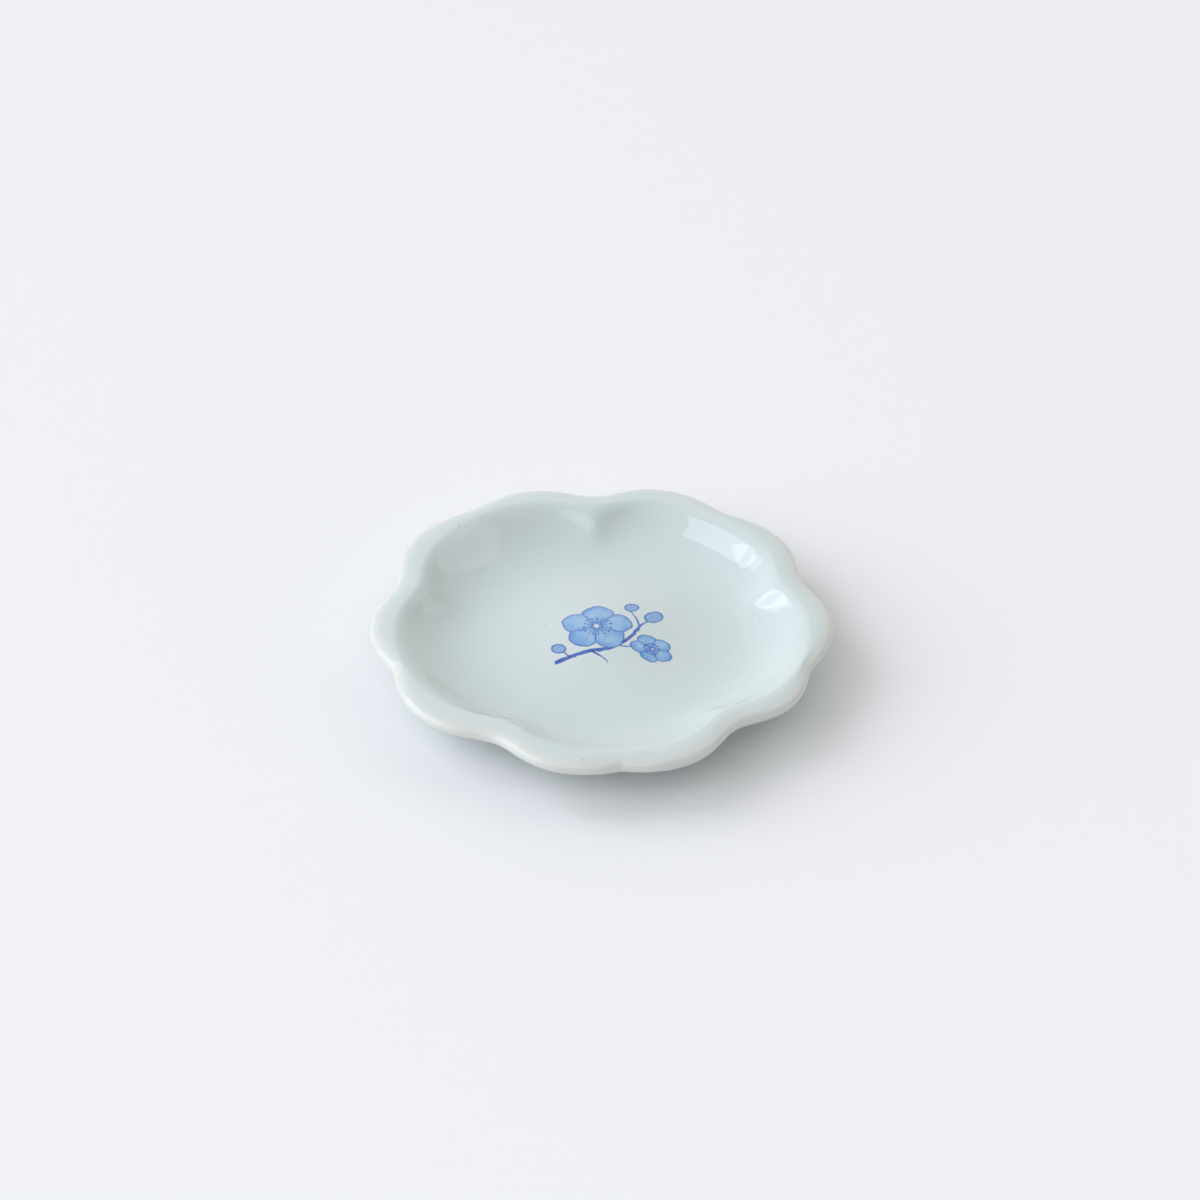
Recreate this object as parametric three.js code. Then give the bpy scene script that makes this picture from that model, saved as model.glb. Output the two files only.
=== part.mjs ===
// Sauce plate: a small porcelain dish moulded as a five-petalled blossom.
// Millimetres, +Z up. The origin is on the dish's axis, on the table that the foot ring stands on.
// Four pieces are fired into one: the moulded dish, the foot ring stuck under it, the glaze that
// runs unbroken over the face, lip and outside, and the patch of glaze inside the foot ring.

import * as THREE from 'three'

// Outline, seen from above: a round blank, drawn in between the petals and at their tips
const BLANK_RADIUS = 51.45 // axis to the edge of the round blank, glaze included
const PETALS = 5
const VALLEY_DEPTH = 5.2 // how far the edge draws in between two petals
const VALLEY_SPREAD = 5.3 // degrees either side over which a valley opens out
const WALL_SOFTNESS = 5 // degrees of rounding along the ridge that a valley makes in the wall
const LIP_SOFTNESS = 13 // degrees of rounding of a valley in the lip
const SOFTENING = 6 // how far below the crest of the lip a valley starts to soften
const VALLEY_RISE = 17 // how far out from the foot a valley reaches its full depth
const NICK_DEPTH = 3.2 // small V in the tip of each petal
const NICK_SPREAD = 11 // degrees either side over which a nick opens out
const NICK_SOFTNESS = 1 // degrees of rounding at the bottom of a nick
const NICK_REACH = 12 // how far in from the edge a nick dents the wall

// Section of the dish
const FOOT_HEIGHT = 3.4 // table to the underside of the dish
const BASE_RISE = 1.4 // how far the underside rises from the foot to the middle
const FLOOR = 3.7 // porcelain between the top of the foot and the lowest ring of the well
const DOME = 2.6 // how far the middle of the well rises
const WELL_RADIUS = 28.6 // axis to the lowest ring of the well
const WELL_DEPTH = 6.2 // crest of the lip to the lowest ring of the well
const WELL_SWEEP = 12.1 // how slowly the wall leaves the well
const CREST_SWEEP = 4.2 // how tightly the wall turns over into the lip
const LIP_WIDTH = 3.6 // crest of the lip to the outer edge
const LIP_DROP = 1.1 // crest of the lip to the middle of the rounded edge
const LIP_LEVEL = 1.9 // how far the lip runs on level before it falls
const EDGE_RADIUS = 1.1 // rounding of the outer edge
const EDGE_START = 75 // degrees above level where the rounded edge leaves the lip
const UNDER_LIP = 6 // how far the underside of the lip runs on level
const UNDER_SWEEP = 13 // how slowly the outside leaves the foot

// Foot ring
const FOOT_RADIUS = 25.5 // outside of the ring where it meets the dish
const FOOT_WALL = 4 // thickness of the ring where it meets the dish
const FOOT_TAPER = 0.5 // how far each side leans in towards the table
const FOOT_ROUNDING = 0.6 // rounded corners of the ring at the table

// Glaze
const GLAZE = 0.3 // thickness
const BARE_BAND = 0.4 // bare clay between the foot's rounded corners and the glaze

// Fineness of the facets
const STEPS_PER_PETAL = 16
const BUNCHING = 1.7 // degrees by which the steps crowd towards nicks and valleys
const WELL_STEPS = 6
const WALL_STEPS = 7
const LIP_STEPS = 2
const EDGE_STEPS = 5
const UNDER_STEPS = 5
const BASE_STEPS = 4
const CORNER_STEPS = 2

// Levels and radii that follow from the sizes above
const wellLevel = FOOT_HEIGHT + FLOOR
const crestLevel = wellLevel + WELL_DEPTH
const edgeLevel = crestLevel - LIP_DROP
const edgeRadius = BLANK_RADIUS - GLAZE
const crestRadius = edgeRadius - LIP_WIDTH
const edgeMiddle = edgeRadius - EDGE_RADIUS
const petalStart = FOOT_RADIUS + GLAZE // the petals fade out before they reach the foot
const glazeLevel = FOOT_ROUNDING + BARE_BAND

const degrees = THREE.MathUtils.degToRad
const smoothstep = THREE.MathUtils.smoothstep
const point = (radius, level) => new THREE.Vector2(radius, level)

// A line of even S form that leaves one point and reaches the next on the level.
function levelled(from, leaving, reaching, to) {
  return new THREE.CubicBezierCurve(
    from,
    point(from.x + leaving, from.y),
    point(to.x - reaching, to.y),
    to,
  )
}

// The upper and outer surface of the bare dish, from the middle of the well over the lip and down
// to the foot.
function dishLine() {
  const middle = point(0, wellLevel + DOME)
  const trough = point(WELL_RADIUS, wellLevel)
  const crest = point(crestRadius, crestLevel)
  const edgeStart = point(
    edgeMiddle + EDGE_RADIUS * Math.cos(degrees(EDGE_START)),
    edgeLevel + EDGE_RADIUS * Math.sin(degrees(EDGE_START)),
  )
  const edgeEnd = point(edgeMiddle, edgeLevel - EDGE_RADIUS)
  const foot = point(FOOT_RADIUS, FOOT_HEIGHT)
  const stretches = [
    [levelled(middle, WELL_RADIUS / 3, WELL_RADIUS / 3, trough), WELL_STEPS],
    [levelled(trough, WELL_SWEEP, CREST_SWEEP, crest), WALL_STEPS],
    [new THREE.QuadraticBezierCurve(crest, point(crest.x + LIP_LEVEL, crest.y), edgeStart), LIP_STEPS],
    [new THREE.EllipseCurve(
      edgeMiddle, edgeLevel, EDGE_RADIUS, EDGE_RADIUS, degrees(EDGE_START), degrees(-90), true,
    ), EDGE_STEPS],
    [levelled(edgeEnd, -UNDER_LIP, -UNDER_SWEEP, foot), UNDER_STEPS],
  ]
  return [middle, ...stretches.flatMap(([curve, steps]) => curve.getPoints(steps).slice(1))]
}

// The underside inside the foot ring, from the axis to the ring. It rises under the domed well.
function baseLine() {
  const middle = point(0, FOOT_HEIGHT + BASE_RISE)
  const ring = point(FOOT_RADIUS - FOOT_WALL, FOOT_HEIGHT)
  return levelled(middle, ring.x / 3, ring.x / 3, ring).getPoints(BASE_STEPS)
}

// One side of the foot ring, from the dish down to the table: first the stretch that is glazed, then
// the bare clay with its rounded corner. The side is +1 for the outside and -1 for the inside.
function footSide(side) {
  const root = side > 0 ? FOOT_RADIUS : FOOT_RADIUS - FOOT_WALL
  const leaning = (level) => point(root - side * FOOT_TAPER * (1 - level / FOOT_HEIGHT), level)
  const corner = new THREE.QuadraticBezierCurve(
    leaning(FOOT_ROUNDING),
    leaning(0),
    point(leaning(0).x - side * FOOT_ROUNDING, 0),
  )
  return {
    glazed: [leaning(FOOT_HEIGHT), leaning(glazeLevel)],
    bare: corner.getPoints(CORNER_STEPS),
  }
}

// A line thickened into a closed section. Positive thickness lies to the left of the line's run. A
// point on the axis stays there.
function thickened(line, thickness) {
  const left = (from, to) => {
    const run = to.clone().sub(from).normalize()
    return point(-run.y, run.x)
  }
  const outer = line.map((at, i) => {
    if (at.x === 0) return point(0, at.y + thickness)
    const before = left(line[i - 1], at)
    const after = i < line.length - 1 ? left(at, line[i + 1]) : before
    const mitre = before.clone().add(after).normalize()
    return at.clone().addScaledVector(mitre, thickness / mitre.dot(after))
  })
  return [...outer, ...line.toReversed()]
}

// The form of a notch at an angle away from its middle, where it is 1.
function notch(away, softness, spread) {
  return Math.exp((softness - Math.hypot(away, softness)) / spread)
}

// How far the petals draw a point of the round blank in towards the axis. The turn is in degrees
// from the tip of a petal. Nothing is drawn in at the foot; a valley makes a ridge in the wall and
// softens towards the lip.
function drawnIn(radius, turn) {
  const pitch = 360 / PETALS
  const fromTip = Math.abs(turn - pitch * Math.round(turn / pitch))
  const fromValley = pitch / 2 - fromTip
  const inLip = smoothstep(radius, crestRadius - SOFTENING, crestRadius)
  const softness = THREE.MathUtils.lerp(WALL_SOFTNESS, LIP_SOFTNESS, inLip)
  const valley = notch(fromValley, softness, VALLEY_SPREAD)
  const nick = notch(fromTip, NICK_SOFTNESS, NICK_SPREAD)
  const valleyShare = smoothstep(radius, petalStart, petalStart + VALLEY_RISE)
  const nickShare = smoothstep(radius, edgeRadius - NICK_REACH, edgeRadius)
  return VALLEY_DEPTH * valley * valleyShare + NICK_DEPTH * nick * nickShare
}

// A section turned round the axis, with its steps crowded towards the nicks and valleys, then
// drawn into petals. One petal points along -Y.
function petalled(section) {
  const anticlockwise = THREE.ShapeUtils.isClockWise(section) ? section.toReversed() : section
  const geometry = new THREE.LatheGeometry(anticlockwise, PETALS * STEPS_PER_PETAL)
  geometry.rotateX(Math.PI / 2)
  const position = geometry.attributes.position
  for (let i = 0; i < position.count; i++) {
    const radius = Math.hypot(position.getX(i), position.getY(i))
    const even = THREE.MathUtils.radToDeg(Math.atan2(position.getX(i), -position.getY(i)))
    const turn = even - BUNCHING * Math.sin(degrees(2 * PETALS * even))
    const reach = radius - drawnIn(radius, turn)
    position.setXY(i, reach * Math.sin(degrees(turn)), -reach * Math.cos(degrees(turn)))
  }
  splitAlike(geometry)
  geometry.computeVertexNormals()
  return geometry
}

// Splits each four-sided facet of a lathe along its shorter diagonal, so that two pieces that share
// a curved face share its facets too, and touch without a gap.
function splitAlike(geometry) {
  const corner = (i) => new THREE.Vector3().fromBufferAttribute(geometry.attributes.position, i)
  const index = geometry.index
  for (let first = 0; first < index.count; first += 6) {
    const [a, b, d, c] = [0, 1, 2, 3].map((step) => index.getX(first + step))
    if (corner(a).distanceTo(corner(c)) > corner(b).distanceTo(corner(d))) continue
    const facets = [a, b, c, a, c, d]
    facets.forEach((vertex, step) => index.setX(first + step, vertex))
  }
}

function finish(colour, roughness) {
  return new THREE.MeshStandardMaterial({ color: colour, roughness, metalness: 0 })
}

function piece(name, section, material) {
  const mesh = new THREE.Mesh(petalled(section), material)
  mesh.name = name
  return mesh
}

const dish = dishLine()
const base = baseLine()
const outside = footSide(1)
const inside = footSide(-1)
const porcelain = finish(0xf2efe7, 0.55)
const bareClay = finish(0xe6ddcb, 0.85)
const glaze = finish(0xd6dfdd, 0.08)

const plate = new THREE.Group()
plate.add(
  piece('porcelain_body', [...dish, ...base.toReversed()], porcelain),
  piece('foot_ring', [
    ...outside.glazed, ...outside.bare, ...inside.bare.toReversed(), ...inside.glazed.toReversed(),
    outside.glazed[0],
  ], bareClay),
  piece('glaze_coat', thickened([...dish, outside.glazed[1]], GLAZE), glaze),
  piece('base_glaze', thickened([...base, inside.glazed[1]], -GLAZE), glaze),
)

export default plate
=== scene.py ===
"""Looks for a blossom-shaped porcelain sauce plate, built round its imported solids.

Lengths are in millimetres until a mesh is made, which is in metres. The dish, its foot ring and the
glaze inside the foot are turned from sections like those of the solids, with many more steps, and
drawn into petals that differ a little from each other. The glaze, the blue brushwork under it and
the bare clay are nodes.
"""

import math

import bpy
import numpy as np
from mathutils import Matrix, Quaternion, Vector


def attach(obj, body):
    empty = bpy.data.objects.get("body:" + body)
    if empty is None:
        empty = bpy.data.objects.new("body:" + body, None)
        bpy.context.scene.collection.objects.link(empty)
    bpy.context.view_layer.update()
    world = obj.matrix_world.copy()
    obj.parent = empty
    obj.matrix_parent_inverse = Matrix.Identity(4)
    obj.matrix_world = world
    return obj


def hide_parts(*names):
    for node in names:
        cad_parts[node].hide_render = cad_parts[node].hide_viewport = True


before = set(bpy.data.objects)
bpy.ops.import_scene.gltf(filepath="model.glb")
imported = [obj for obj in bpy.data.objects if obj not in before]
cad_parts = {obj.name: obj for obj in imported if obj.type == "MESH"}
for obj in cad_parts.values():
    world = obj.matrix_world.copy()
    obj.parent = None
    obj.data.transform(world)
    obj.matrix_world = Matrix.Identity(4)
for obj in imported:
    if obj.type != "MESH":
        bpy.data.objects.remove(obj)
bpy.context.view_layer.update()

MM = 0.001

# Outline, seen from above: a round blank, drawn in between the petals and at their tips. Spreads and
# softnesses are in degrees round the axis.
BLANK_RADIUS = 52.5
PETALS = 5
VALLEY_DEPTH = 5.2
VALLEY_SPREAD = 6.5
WALL_SOFTNESS = 5  # rounding along the ridge that a valley makes in the wall
LIP_SOFTNESS = 12  # rounding of a valley in the lip
SOFTENING = 6  # how far in from the crest of the lip a valley starts to soften
WALL_SHARE = 0.65  # share of a valley's depth that the wall takes, with the rest left to the lip
NICK_DEPTH = 3.2
NICK_SPREAD = 11.4
NICK_SOFTNESS = 6.5
NICK_REACH = 8  # how far in from the edge a nick dents the lip
CUT_DEPTH = 0.5  # tight cut at the bottom of a nick
CUT_SPREAD = 2.0
CUT_SOFTNESS = 0.7
CUT_REACH = 5

# Hand-made differences, anticlockwise from the front: each valley, nick and cut as a share of its full
# depth, and the degrees that it stands off its even place
VALLEYS = [(1.34, 1.0), (1.03, -1.2), (1.30, -0.5), (1.10, -0.5), (1.19, 3.6)]
NICKS = [(0.93, 2.0), (1.44, -3.4), (1.28, -1.1), (0.98, -3.3), (1.32, 0.0)]
CUTS = [(1.0, 2.0), (0.4, -3.4), (0.2, -1.1), (0.4, -3.3), (1.0, 0.0)]

# Section of the dish
FOOT_HEIGHT = 3.4  # table to the underside of the dish
BASE_RISE = 1.4  # how far the underside rises from the foot to the middle
FLOOR = 3.7  # porcelain between the top of the foot and the lowest ring of the well
DOME = 2.6  # how far the middle of the well rises
WELL_RADIUS = 26.8  # axis to the lowest ring of the well
WELL_DEPTH = 6.2  # crest of the lip to the lowest ring of the well
WELL_SWEEP = 11.6  # how slowly the wall leaves the well
CREST_SWEEP = 4.4  # how tightly the wall turns over into the lip
LIP_WIDTH = 6.2  # crest of the lip to the outer edge
LIP_DROP = 1.6  # crest of the lip to the middle of the rounded edge
LIP_LEVEL = 4.3  # how far the lip runs on level before it falls
EDGE_RADIUS = 1.1
EDGE_START = 64  # degrees above level where the rounded edge leaves the lip
UNDER_LIP = 6  # how far the underside of the lip runs on level
UNDER_SWEEP = 13  # how slowly the outside leaves the foot

# Foot ring and glaze
FOOT_RADIUS = 25.5
FOOT_WALL = 4
FOOT_TAPER = 0.5
FOOT_ROUNDING = 0.6
GLAZE = 0.3
BARE_BAND = 0.4  # bare clay between the foot's rounded corners and the glaze
ROOT_FILLET = 1.0  # where the glaze gathers against the foot

# Where the glaze is thin or pooled
EDGE_THIN = (-0.2, 1.1)  # distances from the rounded edge at which it is thinnest and no longer thin
BASE_THIN = 0.8  # how far up inside the foot the glaze is thin
POOL_OFFSET = 3  # from the lowest ring of the well out to the middle of the pool
POOL_SPREAD = 7
BASE_POOL_SPREAD = 2

# Fineness of the turned meshes
STEPS_ROUND = 480
BUNCHING = 2.5  # degrees by which the steps crowd towards nicks and valleys
WELL_STEPS = 20
WALL_STEPS = 48
LIP_STEPS = 18
EDGE_STEPS = 24
UNDER_STEPS = 40
FILLET_STEPS = 8
FOOT_STEPS = 6

# Levels and radii that follow
WELL_LEVEL = FOOT_HEIGHT + FLOOR
CREST_LEVEL = WELL_LEVEL + WELL_DEPTH
EDGE_LEVEL = CREST_LEVEL - LIP_DROP
EDGE_REACH = BLANK_RADIUS - GLAZE
CREST_RADIUS = EDGE_REACH - LIP_WIDTH
EDGE_MIDDLE = EDGE_REACH - EDGE_RADIUS
PETAL_START = FOOT_RADIUS + GLAZE
GLAZE_LEVEL = FOOT_ROUNDING + BARE_BAND

# Colours of the glaze, the clay and the floor
GLAZE_SHADES = ((0.600, 0.676, 0.660, 1), (0.615, 0.688, 0.672, 1))
POOLED_GLAZE = (0.578, 0.665, 0.652, 1)
THIN_GLAZE = (0.69, 0.705, 0.65, 1)
FLECK_COLOUR = (0.16, 0.17, 0.17, 1)
CLAY_SHADES = ((0.66, 0.60, 0.50, 1), (0.77, 0.72, 0.63, 1))
WORN_CLAY = (0.50, 0.46, 0.40, 1)
FLOOR_COLOUR = (0.85, 0.857, 0.862, 1)

# Iron flecks: cells to the millimetre, the share of cells without a fleck, and the least size of a
# fleck and the range of sizes as shares of a cell
FLECK_CELLS = 0.17
FLECK_RARITY = 0.87
FLECK_SIZE = 0.02
FLECK_RANGE = 0.03

# Brushwork: a sprig of plum blossom in the middle of the well. Twigs are start, end, bow, first and
# last width; blossoms are centre, turn, size and squash; buds are centre, turn, long and short half-width.
SPRIG_PLACE = (2.6, 0.2)
TWIGS = [
    ((-12.4, -9.0), (-3.4, -6.0), 0.7, 1.25, 0.95),
    ((-3.4, -6.0), (4.4, -0.8), -0.8, 0.95, 0.75),
    ((4.4, -0.8), (7.9, 4.4), 0.7, 0.75, 0.35),
    ((5.2, 0.6), (4.6, 7.9), -0.7, 0.5, 0.3),
    ((0.4, -4.0), (4.0, -4.9), -0.4, 0.5, 0.35),
    ((-8.4, -7.6), (-11.2, -5.6), 0.3, 0.5, 0.3),
    ((-4.8, -6.4), (-1.6, -10.0), 0.4, 0.6, 0.2),
]
BLOSSOMS = [((-3.4, 1.8), 14, 7.6, 1.0), ((8.0, -5.2), -38, 4.9, 0.84)]
BUDS = [((9.0, 6.0), 52, 2.2, 1.8), ((4.5, 9.4), 95, 1.6, 1.35), ((-12.0, -4.6), 130, 1.6, 1.3)]
PALE_WASH = (0.27, 0.48, 0.70, 1)
DEEP_WASH = (0.085, 0.28, 0.61, 1)
LINE_BLUE = (0.018, 0.10, 0.45, 1)
DARK_BLUE = (0.014, 0.03, 0.30, 1)

# How strongly each wash is laid on
PALE_STRENGTH = 0.92
FLOW_STRENGTH = 0.55
GATHERED_STRENGTH = 0.35
BUD_STRENGTH = 0.8
TWIG_DARKNESS = 0.75

# Half-widths of the drawn lines, and how soft their edges are
LINE = 0.16
LINE_SOFT = 0.13
FINE_LINE = LINE * 0.8
THREAD_LINE = LINE * 0.55
THREAD_SOFT = 0.1
DOT = 0.22
DOT_SOFT = 0.12

# A wash is full at the first of these distances out from its outline, and gone at the second
PETAL_EDGE = (-0.3, 0.15)
BUD_EDGE = (-0.25, 0.2)
GATHERING = (-1.9, -0.1)  # the wash gathers between these distances

# Proportions of a blossom, as shares of its size
PETAL_MIDDLE = 0.56
PETAL_RADIUS = 0.44
SEAM_SPAN = (0.26, 0.36, 0.66, 0.76)
THREAD_SPAN = (0.10, 0.14, 0.30, 0.36)
HEART_RADIUS = 0.09
DOT_PLACE = 0.38
BLOSSOM_PETALS = 5
BLOSSOM_THREADS = 15

# How far the brush strays, slowly and quickly
SWAY = 1.7
TREMBLE = 0.35

# Camera, from where the rim lies in the photograph's 1200 by 1200 frame
FRAME_PIXELS = 1200
RIM_PIXEL = (601.3, 625.3)
PIXELS_PER_MM = 4.637
CAMERA_LENS = 180
CAMERA_SENSOR = 36
CAMERA_AZIMUTH = -3.5
CAMERA_ELEVATION = 38.3
CAMERA_ROLL = 1.0

# Studio, in metres: a floor, a sky that changes evenly across the room, and lamps given as name,
# azimuth, elevation, size, level, colour and slant
FLOOR_HALF = 3
SKY_COLOUR = (1, 0.995, 0.985, 1)
SKY_LEVEL = 0.49
SKY_LEAN = (-0.14, 0.43, -0.02)  # change of level towards +X, +Y and +Z
LAMP_DISTANCE = 5
DAYLIGHT = (0.86, 0.885, 1)
LAMPS = [
    ("key", 185, 31, (6.0, 4.4), 0.43, DAYLIGHT, 0),
    ("window", 161, 57, (0.9, 2.3), 0.055, DAYLIGHT, -33),
    ("low_window", 148, 34, (1.2, 0.9), 0.015, DAYLIGHT, -33),
    ("front", 256, 48, (4.0, 3.4), 0.17, (0.97, 0.975, 1), 0),
    ("card", 20, 46, (2.3, 2.9), 0.05, (1, 1, 1), 0),
    ("fill", 335, 14, (4.5, 2.2), 0.025, (1, 0.97, 0.92), 0),
]


def bezier(points, steps):
    """Points along a straight, quadratic or cubic curve."""
    t = np.linspace(0, 1, steps + 1)[:, None]
    points = np.array(points, float)
    order = len(points) - 1
    terms = [math.comb(order, k) * t**k * (1 - t) ** (order - k) * points[k] for k in range(order + 1)]
    return sum(terms)


def levelled(start, leaving, reaching, end, steps):
    """Points along an S-shaped line that leaves one point and reaches the next on the level."""
    (x0, y0), (x1, y1) = start, end
    return bezier([start, (x0 + leaving, y0), (x1 - reaching, y1), end], steps)


def joined(*stretches):
    """Stretches that follow on from each other, as one line."""
    return np.vstack([stretches[0]] + [s[1:] for s in stretches[1:]])


def moved_out(line, distance):
    """The line moved to the left of its run."""
    run = np.gradient(line, axis=0)
    run /= np.linalg.norm(run, axis=1)[:, None]
    return line + distance * np.c_[-run[:, 1], run[:, 0]]


def smoothstep(value, low, high):
    t = np.clip((value - low) / (high - low), 0, 1)
    return t * t * (3 - 2 * t)


def swell(value, middle, spread):
    """One at the middle, falling off to either side."""
    return np.exp(-(((value - middle) / spread) ** 2))


def soft_notch(away, softness, spread):
    """One at the middle of a notch, falling off to either side, with a rounded bottom."""
    return np.exp((softness - np.hypot(away, softness)) / spread)


def notches(turn, first, differences, softness, spread):
    """Uneven notches, one to a petal, as shares of their full depth."""
    total = 0
    for petal, (share, shift) in enumerate(differences):
        middle = first + petal * 360 / PETALS + shift
        away = (turn - middle + 180) % 360 - 180
        total = total + share * soft_notch(away, softness, spread)
    return total


def drawn_in(radius, turn):
    """How far the petals draw a point in towards the axis; the turn is in degrees from the front."""
    wall_rise = smoothstep(radius, PETAL_START, CREST_RADIUS)
    lip_rise = smoothstep(radius, CREST_RADIUS - LIP_WIDTH / 2, EDGE_REACH)
    valley_share = WALL_SHARE * wall_rise + (1 - WALL_SHARE) * lip_rise
    nick_share = smoothstep(radius, EDGE_REACH - NICK_REACH, EDGE_REACH)
    cut_share = smoothstep(radius, EDGE_REACH - CUT_REACH, EDGE_REACH)
    in_lip = smoothstep(radius, CREST_RADIUS - SOFTENING, CREST_RADIUS)
    softness = WALL_SOFTNESS + (LIP_SOFTNESS - WALL_SOFTNESS) * in_lip
    valley = VALLEY_DEPTH * notches(turn, 180 / PETALS, VALLEYS, softness, VALLEY_SPREAD)
    nick = NICK_DEPTH * notches(turn, 0, NICKS, NICK_SOFTNESS, NICK_SPREAD)
    cut = CUT_DEPTH * notches(turn, 0, CUTS, CUT_SOFTNESS, CUT_SPREAD)
    return valley * valley_share + nick * nick_share + cut * cut_share


def dish_line():
    """The surface of the bare dish, from the middle of the well over the lip and down to the foot."""
    middle = (0, WELL_LEVEL + DOME)
    trough = (WELL_RADIUS, WELL_LEVEL)
    crest = (CREST_RADIUS, CREST_LEVEL)
    edge_angles = np.radians(np.linspace(EDGE_START, -90, EDGE_STEPS + 1))
    edge_turn = np.c_[np.cos(edge_angles), np.sin(edge_angles)]
    edge = np.array([EDGE_MIDDLE, EDGE_LEVEL]) + EDGE_RADIUS * edge_turn
    return joined(
        levelled(middle, WELL_RADIUS / 3, WELL_RADIUS / 3, trough, WELL_STEPS),
        levelled(trough, WELL_SWEEP, CREST_SWEEP, crest, WALL_STEPS),
        bezier([crest, (CREST_RADIUS + LIP_LEVEL, CREST_LEVEL), edge[0]], LIP_STEPS),
        edge,
        levelled(edge[-1], -UNDER_LIP, -UNDER_SWEEP, (FOOT_RADIUS, FOOT_HEIGHT), UNDER_STEPS),
    )


def base_line():
    """The underside inside the foot ring, from the axis to the ring, risen under the domed well."""
    ring = FOOT_RADIUS - FOOT_WALL
    return levelled((0, FOOT_HEIGHT + BASE_RISE), ring / 3, ring / 3, (ring, FOOT_HEIGHT), WELL_STEPS)


def foot_side(side, level):
    """A point on the outside (+1) or inside (-1) of the foot ring."""
    root = FOOT_RADIUS if side > 0 else FOOT_RADIUS - FOOT_WALL
    return np.array([root - side * FOOT_TAPER * (1 - level / FOOT_HEIGHT), level])


def turned(name, section, closed):
    """A section turned round the axis and drawn into petals. A closed section meets itself;
    an open one starts and ends on the axis."""
    even = np.linspace(0, 360, STEPS_ROUND, endpoint=False)
    turn = even - BUNCHING * np.sin(np.radians(2 * PETALS * even))
    ring = section if closed else section[1:-1]
    radius = ring[:, :1] - drawn_in(ring[:, :1], turn[None])
    angle = np.radians(turn)
    level = np.broadcast_to(ring[:, 1:], radius.shape)
    points = np.stack([radius * np.sin(angle), -radius * np.cos(angle), level], -1).reshape(-1, 3)
    index = np.arange(len(ring) * STEPS_ROUND).reshape(len(ring), STEPS_ROUND)
    onward = np.roll(index, -1, axis=1)
    rows = range(len(ring) if closed else len(ring) - 1)
    faces = []
    for row in rows:
        after = (row + 1) % len(ring)
        quads = np.c_[index[row], index[after], onward[after], onward[row]]
        faces += quads.tolist()
    if not closed:
        poles = np.array([[0, 0, section[0, 1]], [0, 0, section[-1, 1]]])
        first, last = len(points), len(points) + 1
        points = np.vstack([points, poles])
        faces += [[first, a, b] for a, b in zip(index[0], onward[0])]
        faces += [[last, b, a] for a, b in zip(index[-1], onward[-1])]
    mesh = bpy.data.meshes.new(name)
    mesh.from_pydata((points * MM).tolist(), [], faces)
    mesh.validate()
    mesh.shade_smooth()
    piece = bpy.data.objects.new(name, mesh)
    bpy.context.scene.collection.objects.link(piece)
    return piece


def mark(piece, name, share):
    """Stores a share for each point of an open section that was turned, for the nodes to read."""
    values = np.repeat(share[1:-1], STEPS_ROUND)
    values = np.concatenate([values, [share[0], share[-1]]])
    layer = piece.data.attributes.new(name, "FLOAT", "POINT")
    layer.data.foreach_set("value", values.astype(np.float32))


def make_dish():
    """The glazed dish: the outside of the glaze, closed underneath against the foot ring."""
    root = foot_side(1, FOOT_HEIGHT)
    outside = moved_out(dish_line(), GLAZE)
    outside[0, 0] = 0
    glaze_end = foot_side(1, GLAZE_LEVEL)
    wall_top = root + [GLAZE, -GLAZE]
    wall_foot = glaze_end + [GLAZE, 0]
    keep = np.flatnonzero(outside[:, 0] > wall_top[0] + ROOT_FILLET)[-1] + 1
    fillet = bezier([outside[keep - 1], wall_top, wall_top + [0, -ROOT_FILLET / 2]], FILLET_STEPS)
    section = joined(
        outside[:keep],
        fillet,
        bezier([fillet[-1], wall_foot], FOOT_STEPS),
        bezier([wall_foot, glaze_end], 1),
        bezier([glaze_end, root], 1),
        bezier([root, foot_side(-1, FOOT_HEIGHT)], 1),
        base_line()[::-1],
    )
    piece = turned("glazed_dish", section, closed=False)
    radius, level = section.T
    from_edge = np.hypot(radius - EDGE_MIDDLE, level - EDGE_LEVEL) - EDGE_RADIUS - GLAZE
    mark(piece, "glaze_thin", 1 - smoothstep(from_edge, *EDGE_THIN))
    mark(piece, "glaze_pool", swell(radius, WELL_RADIUS + POOL_OFFSET, POOL_SPREAD) * (level > WELL_LEVEL))
    return piece


def make_foot():
    """The foot ring: sides that the glaze covers, and bare clay with rounded corners at the table."""

    def corner(side):
        at_table = foot_side(side, 0)
        inward = at_table - [side * FOOT_ROUNDING, 0]
        return bezier([foot_side(side, FOOT_ROUNDING), at_table, inward], FILLET_STEPS)

    outer = corner(1)
    inner = corner(-1)[::-1]
    section = np.vstack(
        [
            bezier([foot_side(1, FOOT_HEIGHT), outer[0]], FOOT_STEPS)[:-1],
            outer,
            inner,
            bezier([inner[-1], foot_side(-1, FOOT_HEIGHT)], FOOT_STEPS)[1:],
        ]
    )
    return turned("bare_foot", section, closed=True)


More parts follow.
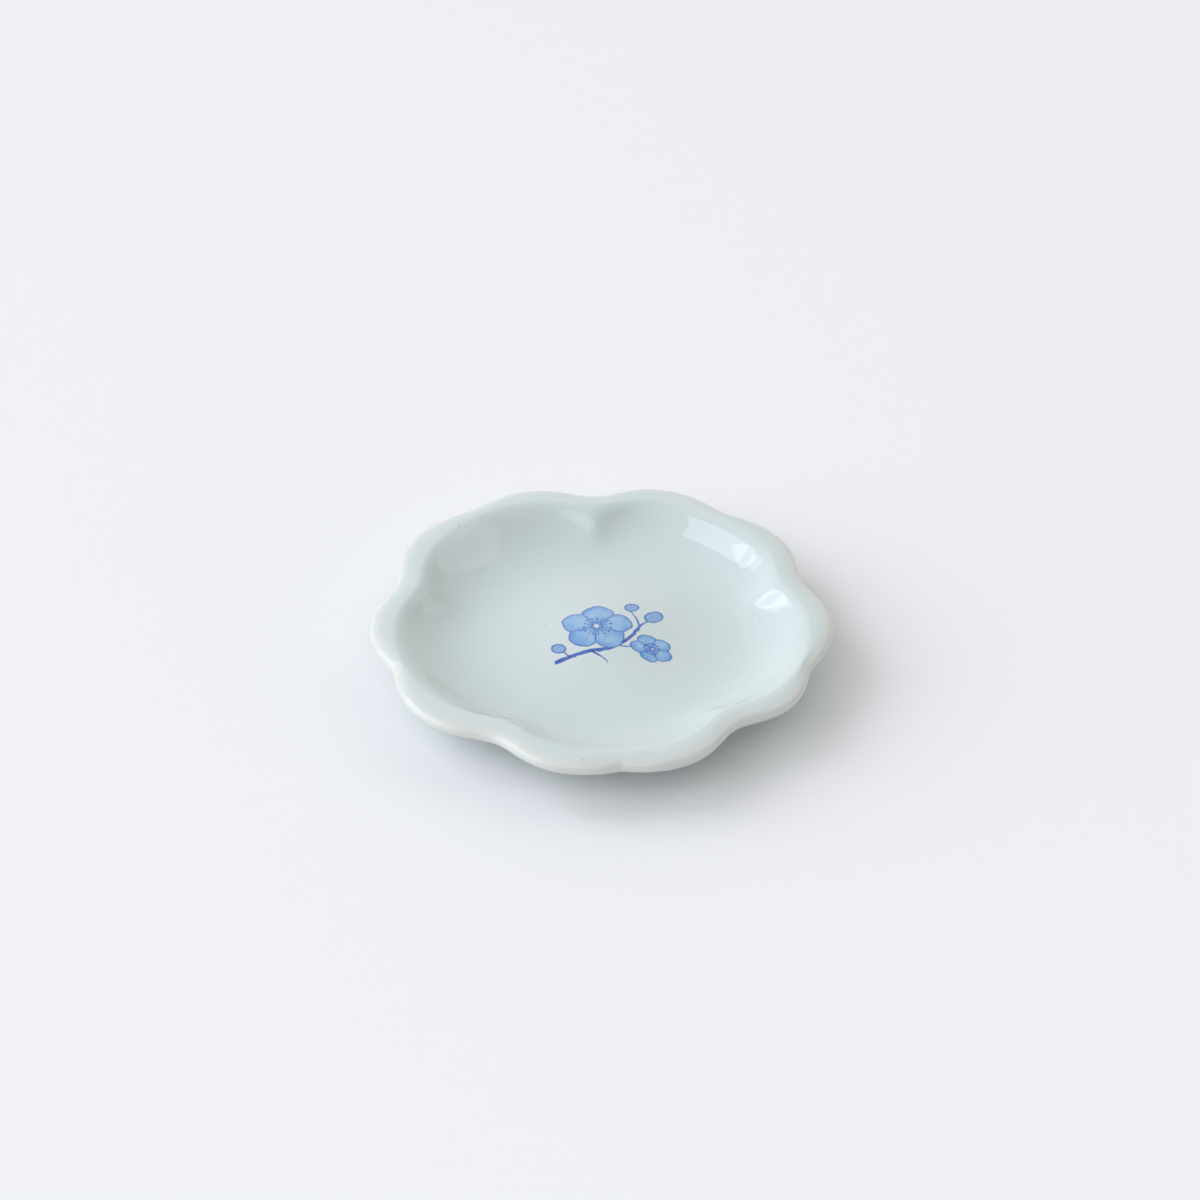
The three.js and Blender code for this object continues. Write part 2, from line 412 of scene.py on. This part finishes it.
def make_base():
    """The glaze inside the foot ring, pooled a little in the corner."""
    line = base_line()
    root = line[-1]
    glaze_end = foot_side(-1, GLAZE_LEVEL)
    below = line[line[:, 0] < root[0] - ROOT_FILLET] - [0, GLAZE]
    corner = root + [-GLAZE, -GLAZE]
    pool_end = corner + [0, -ROOT_FILLET / 2]
    section = joined(
        line,
        bezier([root, glaze_end], FOOT_STEPS),
        bezier([glaze_end, glaze_end + [-GLAZE, 0]], 1),
        bezier([glaze_end + [-GLAZE, 0], pool_end], FOOT_STEPS),
        bezier([pool_end, corner, below[-1]], FILLET_STEPS),
        below[::-1],
    )
    piece = turned("base_glaze_pool", section, closed=False)
    radius, level = section.T
    mark(piece, "glaze_thin", 1 - smoothstep(level, GLAZE_LEVEL, GLAZE_LEVEL + BASE_THIN))
    mark(piece, "glaze_pool", swell(radius, corner[0], BASE_POOL_SPREAD))
    return piece


class Nodes:
    """Adds nodes to one node tree, each fed by values or by other nodes' outputs."""

    def __init__(self, tree):
        self.tree = tree

    def add(self, kind, feeds=None, **settings):
        node = self.tree.nodes.new("ShaderNode" + kind)
        for name, value in settings.items():
            setattr(node, name, value)
        for socket, value in (feeds or {}).items():
            self.feed(node.inputs[socket], value)
        return node

    def feed(self, socket, value):
        if isinstance(value, bpy.types.NodeSocket):
            self.tree.links.new(value, socket)
        else:
            socket.default_value = value

    def math(self, operation, *values, clamp=False):
        feeds = dict(enumerate(values))
        return self.add("Math", feeds, operation=operation, use_clamp=clamp).outputs[0]

    def largest(self, *values):
        top = values[0]
        for value in values[1:]:
            top = self.math("MAXIMUM", top, value)
        return top

    def vector(self, operation, *values):
        return self.add("VectorMath", dict(enumerate(values)), operation=operation).outputs[0]

    def scaled(self, vector, by):
        return self.add("VectorMath", {0: vector, "Scale": by}, operation="SCALE").outputs[0]

    def ramp(self, value, low, high, start=0.0, end=1.0):
        feeds = {"Value": value, "From Min": low, "From Max": high, "To Min": start, "To Max": end}
        return self.add("MapRange", feeds, interpolation_type="SMOOTHSTEP").outputs["Result"]

    def mix(self, share, under, over):
        return self.add("Mix", {0: share, 6: under, 7: over}, data_type="RGBA").outputs[2]

    def noise(self, place, scale, detail=2.0, roughness=0.5):
        feeds = {"Vector": place, "Scale": scale, "Detail": detail, "Roughness": roughness}
        return self.add("TexNoise", feeds).outputs[0]

    def stray(self, place, scale, detail, reach):
        """A noisy shift to any side."""
        feeds = {"Vector": place, "Scale": scale, "Detail": detail}
        colour = self.add("TexNoise", feeds).outputs["Color"]
        return self.scaled(self.vector("SUBTRACT", colour, (0.5, 0.5, 0.5)), reach)

    def parts(self, vector):
        return self.add("SeparateXYZ", {0: vector}).outputs

    def length(self, x, y):
        flat = self.add("CombineXYZ", {"X": x, "Y": y}).outputs[0]
        return self.add("VectorMath", {0: flat}, operation="LENGTH").outputs["Value"]

    def turned_back(self, point, centre, turn):
        """The point as seen from a centre, with a turn about Z undone."""
        offset = self.vector("SUBTRACT", point, centre)
        back = self.math("MULTIPLY", turn, -1.0)
        feeds = {"Vector": offset, "Angle": back}
        return self.add("VectorRotate", feeds, rotation_type="Z_AXIS").outputs[0]


def node_group(name, inputs, outputs):
    """An empty group of nodes with these inputs (name and kind) and number outputs."""
    group = bpy.data.node_groups.new(name, "ShaderNodeTree")
    for socket, kind in inputs.items():
        group.interface.new_socket(socket, in_out="INPUT", socket_type="NodeSocket" + kind)
    for socket in outputs:
        group.interface.new_socket(socket, in_out="OUTPUT", socket_type="NodeSocketFloat")
    nodes = Nodes(group)
    given = group.nodes.new("NodeGroupInput").outputs
    result = group.nodes.new("NodeGroupOutput").inputs
    return group, nodes, given, result


def line_ink(nodes, away, half_width=LINE, soft=LINE_SOFT):
    """Ink of a line, from the distance to its middle in millimetres."""
    inner = nodes.math("SUBTRACT", half_width, soft)
    outer = nodes.math("ADD", half_width, soft)
    return nodes.ramp(away, inner, outer, 1.0, 0.0)


def brush_group():
    """Ink along one stroke of the brush, bowed to one side and tapered."""
    inputs = {"Point": "Vector", "Start": "Vector", "Turn": "Float", "Length": "Float"}
    inputs.update({"Bow": "Float", "First Width": "Float", "Last Width": "Float"})
    group, nodes, given, result = node_group("brush_stroke", inputs, ["Ink"])
    along, across, _ = nodes.parts(nodes.turned_back(given["Point"], given["Start"], given["Turn"]))
    share = nodes.math("DIVIDE", along, given["Length"], clamp=True)
    rest = nodes.math("SUBTRACT", 1.0, share)
    # The bow is measured half way along, where share times rest is a quarter
    quarter_bow = nodes.math("MULTIPLY", nodes.math("MULTIPLY", share, rest), given["Bow"])
    aside = nodes.math("MULTIPLY_ADD", quarter_bow, -4.0, across)
    beyond = nodes.math("SUBTRACT", along, nodes.math("MULTIPLY", share, given["Length"]))
    first = nodes.math("MULTIPLY", given["First Width"], rest)
    width = nodes.math("MULTIPLY_ADD", given["Last Width"], share, first)
    ink = line_ink(nodes, nodes.length(aside, beyond), nodes.math("MULTIPLY", width, 0.5))
    nodes.feed(result["Ink"], ink)
    return group


def dab_group():
    """A small oval dab of wash with a drawn edge."""
    inputs = {"Point": "Vector", "Centre": "Vector"}
    inputs.update({"Turn": "Float", "Long": "Float", "Short": "Float"})
    group, nodes, given, result = node_group("bud_dab", inputs, ["Wash", "Line"])
    x, y, _ = nodes.parts(nodes.turned_back(given["Point"], given["Centre"], given["Turn"]))
    x = nodes.math("DIVIDE", x, given["Long"])
    y = nodes.math("DIVIDE", y, given["Short"])
    reach = nodes.length(x, y)
    away = nodes.math("MULTIPLY", nodes.math("SUBTRACT", reach, 1.0), given["Short"])
    nodes.feed(result["Wash"], nodes.ramp(away, *BUD_EDGE, 1.0, 0.0))
    nodes.feed(result["Line"], line_ink(nodes, nodes.math("ABSOLUTE", away)))
    return group


def blossom_group():
    """A five-petalled blossom: its wash, the wash gathered at the petals' edges, lines and dots."""
    inputs = {"Point": "Vector", "Centre": "Vector"}
    inputs.update({"Turn": "Float", "Size": "Float", "Squash": "Float"})
    outputs = ["Wash", "Gathered", "Line", "Dots"]
    group, nodes, given, result = node_group("plum_blossom", inputs, outputs)
    x, y, _ = nodes.parts(nodes.turned_back(given["Point"], given["Centre"], given["Turn"]))
    y = nodes.math("DIVIDE", y, given["Squash"])
    radius = nodes.length(x, y)
    angle = nodes.math("ARCTAN2", y, x)

    def part_of(share):
        return nodes.math("MULTIPLY", given["Size"], share)

    def within(value, span):
        """One between the inner two of four shares of the size, and none beyond the outer two."""
        start, full, fading, end = [part_of(share) for share in span]
        rising = nodes.ramp(value, start, full)
        falling = nodes.ramp(value, fading, end, 1.0, 0.0)
        return nodes.math("MULTIPLY", rising, falling)

    def folded(count):
        """Angle from the nearest of a number of even spokes."""
        pitch = 2 * math.pi / count
        spoke = nodes.math("ROUND", nodes.math("DIVIDE", angle, pitch))
        return nodes.math("MULTIPLY_ADD", spoke, -pitch, angle)

    def along_spoke(turn):
        return (
            nodes.math("MULTIPLY", radius, nodes.math("COSINE", turn)),
            nodes.math("MULTIPLY", radius, nodes.math("SINE", turn)),
        )

    petal_turn = folded(BLOSSOM_PETALS)
    out, aside = along_spoke(petal_turn)
    from_middle = nodes.length(nodes.math("SUBTRACT", out, part_of(PETAL_MIDDLE)), aside)
    away = nodes.math("SUBTRACT", from_middle, part_of(PETAL_RADIUS))
    wash = nodes.ramp(away, *PETAL_EDGE, 1.0, 0.0)
    outline = line_ink(nodes, nodes.math("ABSOLUTE", away))

    to_seam = nodes.math("SUBTRACT", math.pi / BLOSSOM_PETALS, nodes.math("ABSOLUTE", petal_turn))
    from_seam = nodes.math("MULTIPLY", radius, nodes.math("SINE", to_seam))
    seam = line_ink(nodes, from_seam, FINE_LINE)
    seam = nodes.math("MULTIPLY", seam, within(radius, SEAM_SPAN))

    out, aside = along_spoke(folded(BLOSSOM_THREADS))
    thread = line_ink(nodes, nodes.math("ABSOLUTE", aside), THREAD_LINE, THREAD_SOFT)
    thread = nodes.math("MULTIPLY", thread, within(out, THREAD_SPAN))
    from_heart = nodes.math("SUBTRACT", radius, part_of(HEART_RADIUS))
    heart = line_ink(nodes, nodes.math("ABSOLUTE", from_heart), FINE_LINE)
    from_dot = nodes.length(nodes.math("SUBTRACT", out, part_of(DOT_PLACE)), aside)

    nodes.feed(result["Wash"], wash)
    nodes.feed(result["Gathered"], nodes.math("MULTIPLY", wash, nodes.ramp(away, *GATHERING)))
    nodes.feed(result["Line"], nodes.largest(outline, seam, thread, heart))
    nodes.feed(result["Dots"], line_ink(nodes, from_dot, DOT, DOT_SOFT))
    return group


def sprig(nodes, place):
    """Shares of the sprig's open wash, gathered wash, bud wash, lines, twigs and dots at each place."""
    groups = {"twig": brush_group(), "blossom": blossom_group(), "bud": dab_group()}
    sway = nodes.stray(place, scale=0.17, detail=1.0, reach=SWAY)
    tremble = nodes.stray(place, scale=0.9, detail=2.0, reach=TREMBLE)
    point = nodes.vector("ADD", place, nodes.vector("ADD", sway, tremble))
    flat = nodes.vector("MULTIPLY", point, (1, 1, 0))

    def drawn(kind, feeds):
        node = nodes.add("Group", node_tree=groups[kind])
        for socket, value in {"Point": flat, **feeds}.items():
            nodes.feed(node.inputs[socket], value)
        return node.outputs

    twigs = []
    for (x0, y0), (x1, y1), bow, first, last in TWIGS:
        stroke = {
            "Start": (x0, y0, 0),
            "Turn": math.atan2(y1 - y0, x1 - x0),
            "Length": math.hypot(x1 - x0, y1 - y0),
            "Bow": bow,
            "First Width": first,
            "Last Width": last,
        }
        twigs.append(drawn("twig", stroke)["Ink"])
    blossoms = []
    for (x, y), turn, size, squash in BLOSSOMS:
        bloom = {"Centre": (x, y, 0), "Turn": math.radians(turn), "Size": size, "Squash": squash}
        blossoms.append(drawn("blossom", bloom))
    buds = []
    for (x, y), turn, long, short in BUDS:
        bud = {"Centre": (x, y, 0), "Turn": math.radians(turn), "Long": long, "Short": short}
        buds.append(drawn("bud", bud))

    open_wash = nodes.largest(*[b["Wash"] for b in blossoms])
    bud_wash = nodes.largest(*[b["Wash"] for b in buds])
    uncovered = nodes.math("SUBTRACT", 1.0, nodes.math("MAXIMUM", open_wash, bud_wash))
    twig = nodes.math("MULTIPLY", nodes.largest(*twigs), uncovered)
    gathered = nodes.largest(*[b["Gathered"] for b in blossoms])
    line = nodes.largest(twig, *[b["Line"] for b in blossoms], *[b["Line"] for b in buds])
    dots = nodes.largest(*[b["Dots"] for b in blossoms])
    return open_wash, gathered, bud_wash, line, twig, dots


def painted(nodes, place, glaze):
    """The glaze's colour with the sprig seen through it."""
    place = nodes.vector("SUBTRACT", place, (*SPRIG_PLACE, 0))
    open_wash, gathered, bud_wash, line, twig, dots = sprig(nodes, place)
    flow = nodes.noise(place, scale=0.24, detail=3.0, roughness=0.6)
    flow = nodes.ramp(flow, 0.36, 0.66)
    grain = nodes.noise(place, scale=2.4, detail=3.0, roughness=0.6)
    grain = nodes.ramp(grain, 0.3, 0.7, start=0.82, end=1.0)
    pale = nodes.math("MULTIPLY", open_wash, nodes.math("MULTIPLY", grain, PALE_STRENGTH))
    colour = nodes.mix(pale, glaze, PALE_WASH)
    at_edges = nodes.math("MULTIPLY", gathered, GATHERED_STRENGTH)
    deep_open = nodes.math("MULTIPLY_ADD", flow, FLOW_STRENGTH, at_edges)
    deep_open = nodes.math("MULTIPLY", deep_open, open_wash)
    deep = nodes.math("MAXIMUM", deep_open, nodes.math("MULTIPLY", bud_wash, BUD_STRENGTH))
    colour = nodes.mix(nodes.math("MULTIPLY", deep, grain), colour, DEEP_WASH)
    colour = nodes.mix(nodes.math("MULTIPLY", line, grain), colour, LINE_BLUE)
    load = nodes.noise(place, scale=0.5)
    dark = nodes.math("MULTIPLY", twig, nodes.ramp(load, 0.45, 0.7, end=TWIG_DARKNESS))
    dark = nodes.math("MAXIMUM", dark, dots)
    return nodes.mix(dark, colour, DARK_BLUE)


def millimetres(nodes):
    """The place on the object in millimetres."""
    return nodes.scaled(nodes.add("TexCoord").outputs["Object"], 1 / MM)


def new_material(name):
    """A material, its nodes and the inputs of its shader."""
    material = bpy.data.materials.new(name)
    material.use_nodes = True
    return material, Nodes(material.node_tree), material.node_tree.nodes["Principled BSDF"].inputs


def flecks(nodes, place):
    """Small iron flecks, sparse and of uneven size. The cells run straight down through the dish, so
    steep faces, where they would show as streaks, have none."""
    cells = nodes.add("TexVoronoi", {"Vector": place, "Scale": FLECK_CELLS}, voronoi_dimensions="2D")
    chance = nodes.add("SeparateColor", {0: cells.outputs["Color"]}).outputs
    chosen = nodes.math("GREATER_THAN", chance[0], FLECK_RARITY)
    facing = nodes.math("ABSOLUTE", nodes.parts(nodes.add("TexCoord").outputs["Normal"])[2])
    chosen = nodes.math("MULTIPLY", chosen, nodes.ramp(facing, 0.7, 0.85))
    size = nodes.math("MULTIPLY_ADD", chance[1], FLECK_RANGE, FLECK_SIZE)
    from_middle = nodes.math("DIVIDE", cells.outputs["Distance"], size)
    fleck = nodes.ramp(from_middle, 0.4, 1.0, start=0.5, end=0.0)
    return nodes.math("MULTIPLY", fleck, chosen)


def glaze_material(name, with_sprig):
    """Pale blue-green glaze over white porcelain: wavy, pooled in hollows and thin at edges."""
    material, nodes, shader = new_material(name)
    place = millimetres(nodes)
    cloud = nodes.noise(place, scale=0.045)
    mottle = nodes.noise(place, scale=0.5, detail=3.0)
    thin = nodes.add("Attribute", attribute_name="glaze_thin").outputs["Fac"]
    pool = nodes.add("Attribute", attribute_name="glaze_pool").outputs["Fac"]

    colour = nodes.mix(nodes.ramp(cloud, 0.35, 0.65), *GLAZE_SHADES)
    gather = nodes.math("MULTIPLY", pool, nodes.ramp(mottle, 0.3, 0.7, start=0.25, end=0.55))
    colour = nodes.mix(gather, colour, POOLED_GLAZE)
    bare = nodes.math("MULTIPLY", thin, nodes.ramp(mottle, 0.25, 0.75, start=0.45, end=0.95))
    colour = nodes.mix(bare, colour, THIN_GLAZE)
    fleck = flecks(nodes, place)
    colour = nodes.mix(fleck, colour, FLECK_COLOUR)
    if with_sprig:
        colour = painted(nodes, place, colour)
    nodes.feed(shader["Base Color"], colour)

    gloss = nodes.noise(place, scale=0.35, detail=3.0)
    gloss = nodes.ramp(gloss, 0.3, 0.7, start=0.02, end=0.05)
    nodes.feed(shader["Roughness"], nodes.math("MULTIPLY_ADD", thin, 0.05, gloss))
    shader["IOR"].default_value = 1.5
    shader["Subsurface Weight"].default_value = 0.2
    shader["Subsurface Radius"].default_value = (1.0, 0.95, 0.85)
    shader["Subsurface Scale"].default_value = 0.8 * MM

    wave = nodes.noise(place, scale=0.11, detail=1.0)
    ripple = nodes.noise(place, scale=0.45)
    height = nodes.math("MULTIPLY_ADD", ripple, 0.12, wave)
    pitted = nodes.math("MULTIPLY_ADD", fleck, -0.3, height)
    bump = nodes.add("Bump", {"Height": pitted, "Distance": 0.05 * MM, "Strength": 1.0})
    nodes.feed(shader["Normal"], bump.outputs[0])
    return material


def clay_material():
    """Bare porcelain clay at the foot: warm, matt and finely grained, worn where it stands."""
    material, nodes, shader = new_material("bare_clay")
    place = millimetres(nodes)
    grain = nodes.noise(place, scale=3.0, detail=4.0, roughness=0.65)
    patch = nodes.noise(place, scale=0.16, detail=3.0)
    height = nodes.parts(place)[2]
    near_table = nodes.ramp(height, 0.05, 0.5, start=1.0, end=0.0)
    worn = nodes.math("MULTIPLY", near_table, nodes.ramp(patch, 0.4, 0.6))
    colour = nodes.mix(nodes.ramp(grain, 0.35, 0.65), *CLAY_SHADES)
    colour = nodes.mix(nodes.math("MULTIPLY", worn, 0.5), colour, WORN_CLAY)
    nodes.feed(shader["Base Color"], colour)
    nodes.feed(shader["Roughness"], nodes.ramp(grain, 0.3, 0.7, start=0.72, end=0.9))
    bump = nodes.add("Bump", {"Height": grain, "Distance": 0.06 * MM, "Strength": 0.8})
    nodes.feed(shader["Normal"], bump.outputs[0])
    return material


def floor_material():
    """Matt white card with a faint tooth."""
    material, nodes, shader = new_material("floor")
    tooth = nodes.noise(millimetres(nodes), scale=0.9, detail=3.0)
    shader["Base Color"].default_value = FLOOR_COLOUR
    shader["Roughness"].default_value = 0.9
    shader["Specular IOR Level"].default_value = 0.2
    bump = nodes.add("Bump", {"Height": tooth, "Distance": 0.02 * MM, "Strength": 0.5})
    nodes.feed(shader["Normal"], bump.outputs[0])
    return material


def towards(azimuth, elevation):
    """The direction of an azimuth, anticlockwise from +X, and an elevation, both in degrees."""
    turn, rise = math.radians(azimuth), math.radians(elevation)
    return Vector((math.cos(rise) * math.cos(turn), math.cos(rise) * math.sin(turn), math.sin(rise)))


def place_camera():
    """Puts the rim where the photograph has it."""
    back = towards(CAMERA_AZIMUTH - 90, CAMERA_ELEVATION)
    roll = math.radians(CAMERA_ROLL)
    level = Vector((0, 0, 1)).cross(back).normalized()
    upright = back.cross(level)
    right = math.cos(roll) * level + math.sin(roll) * upright
    up = -math.sin(roll) * level + math.cos(roll) * upright
    distance = CAMERA_LENS / CAMERA_SENSOR * FRAME_PIXELS / PIXELS_PER_MM * MM
    aside = (RIM_PIXEL[0] - FRAME_PIXELS / 2) / PIXELS_PER_MM * MM
    below = (RIM_PIXEL[1] - FRAME_PIXELS / 2) / PIXELS_PER_MM * MM
    rim = Vector((0, 0, EDGE_LEVEL * MM))
    eye = rim + back * distance
    aim = rim - right * aside + up * below
    outward = (eye - aim).normalized()
    across = up.cross(outward).normalized()
    camera = bpy.data.cameras.new("camera")
    camera.lens = CAMERA_LENS
    camera.sensor_width = CAMERA_SENSOR
    holder = bpy.data.objects.new("camera", camera)
    turn = Matrix((across, outward.cross(across), outward)).transposed()
    holder.matrix_world = Matrix.Translation(eye) @ turn.to_4x4()
    bpy.context.scene.collection.objects.link(holder)
    bpy.context.scene.camera = holder


def area_light(name, azimuth, elevation, size, level, colour, slant):
    """A softbox, turned by its slant in degrees about the line to the plate. The level is about what
    it adds to the brightness of a white card on the floor."""
    aim = towards(azimuth, elevation)
    lamp = bpy.data.lights.new(name, "AREA")
    lamp.shape = "RECTANGLE"
    lamp.size, lamp.size_y = size
    lamp.energy = level * (math.pi * LAMP_DISTANCE) ** 2 / math.sin(math.radians(elevation))
    lamp.color = colour
    holder = bpy.data.objects.new(name, lamp)
    holder.location = aim * LAMP_DISTANCE
    holder.rotation_mode = "QUATERNION"
    slanted = Quaternion((0, 0, 1), math.radians(slant))
    holder.rotation_quaternion = aim.to_track_quat("Z", "Y") @ slanted
    bpy.context.scene.collection.objects.link(holder)


def make_floor():
    """A plain floor under the plate."""
    sides = ((-1, -1), (1, -1), (1, 1), (-1, 1))
    corners = [(x * FLOOR_HALF, y * FLOOR_HALF, 0) for x, y in sides]
    mesh = bpy.data.meshes.new("floor")
    mesh.from_pydata(corners, [], [(0, 1, 2, 3)])
    mesh.materials.append(floor_material())
    floor = bpy.data.objects.new("floor", mesh)
    bpy.context.scene.collection.objects.link(floor)


def make_sky():
    """A soft studio sky, brighter to the back and a little to the left."""
    world = bpy.data.worlds.new("studio")
    world.use_nodes = True
    nodes = Nodes(world.node_tree)
    background = world.node_tree.nodes["Background"]
    background.inputs["Color"].default_value = SKY_COLOUR
    direction = nodes.add("TexCoord").outputs["Generated"]
    leaning = nodes.add("VectorMath", {0: direction, 1: SKY_LEAN}, operation="DOT_PRODUCT")
    nodes.feed(background.inputs["Strength"], nodes.math("ADD", leaning.outputs["Value"], SKY_LEVEL))
    bpy.context.scene.world = world


dish = make_dish()
foot = make_foot()
base = make_base()
dish.data.materials.append(glaze_material("painted_glaze", True))
foot.data.materials.append(clay_material())
base.data.materials.append(glaze_material("base_glaze", False))
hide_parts("porcelain_body", "glaze_coat")
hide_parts("foot_ring")
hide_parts("base_glaze")
for piece in (dish, foot, base):
    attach(piece, "root")

place_camera()
make_floor()
make_sky()
for lamp in LAMPS:
    area_light(*lamp)
bpy.context.scene.view_settings.view_transform = "Standard"
